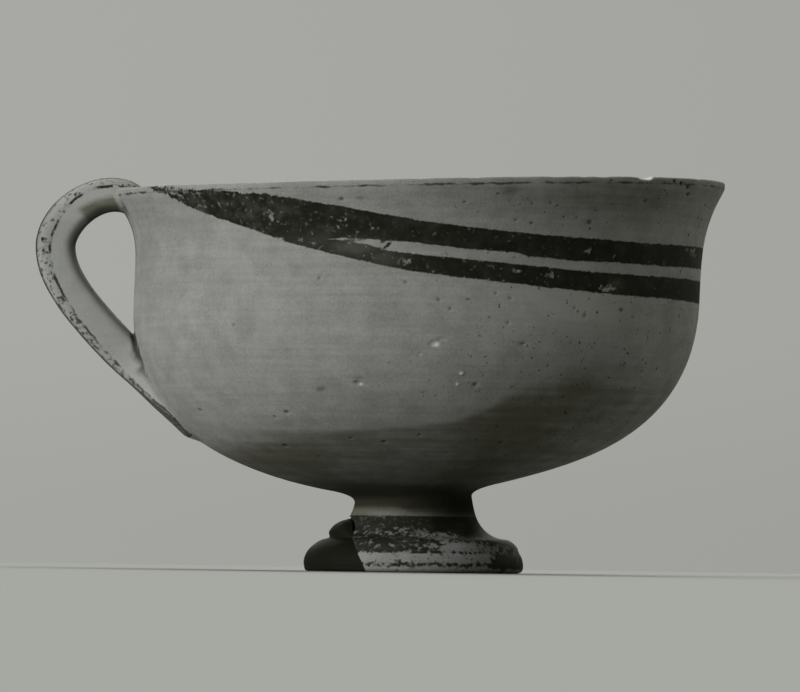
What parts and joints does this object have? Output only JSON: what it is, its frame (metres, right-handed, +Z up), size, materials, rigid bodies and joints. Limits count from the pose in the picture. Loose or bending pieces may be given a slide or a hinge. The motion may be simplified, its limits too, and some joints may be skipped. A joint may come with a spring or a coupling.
{
  "type": "one-handled footed cup",
  "caption": "Wheel-thrown pottery cup with a deep round bowl, turned-out lip, high looped strap handle and a low spreading foot with a modelled repair.",
  "frame": {"origin": "centre of the foot's flat underside, on the axis of the foot", "axes": "+Z up out of the bowl's mouth, -X towards the handle, which lies in the XZ plane, and Y across the cup"},
  "size_m": [0.1687, 0.1494, 0.0965],
  "materials": {
    "painted_clay": "matte fired clay, worn, with dark painted bands, lip line, handle back and foot",
    "dark_fill": "dull dark modelled filler with a faint sheen"
  },
  "bodies": {
    "root": {"cup": "painted_clay", "foot_repair": "dark_fill"}
  },
  "joints": []
}
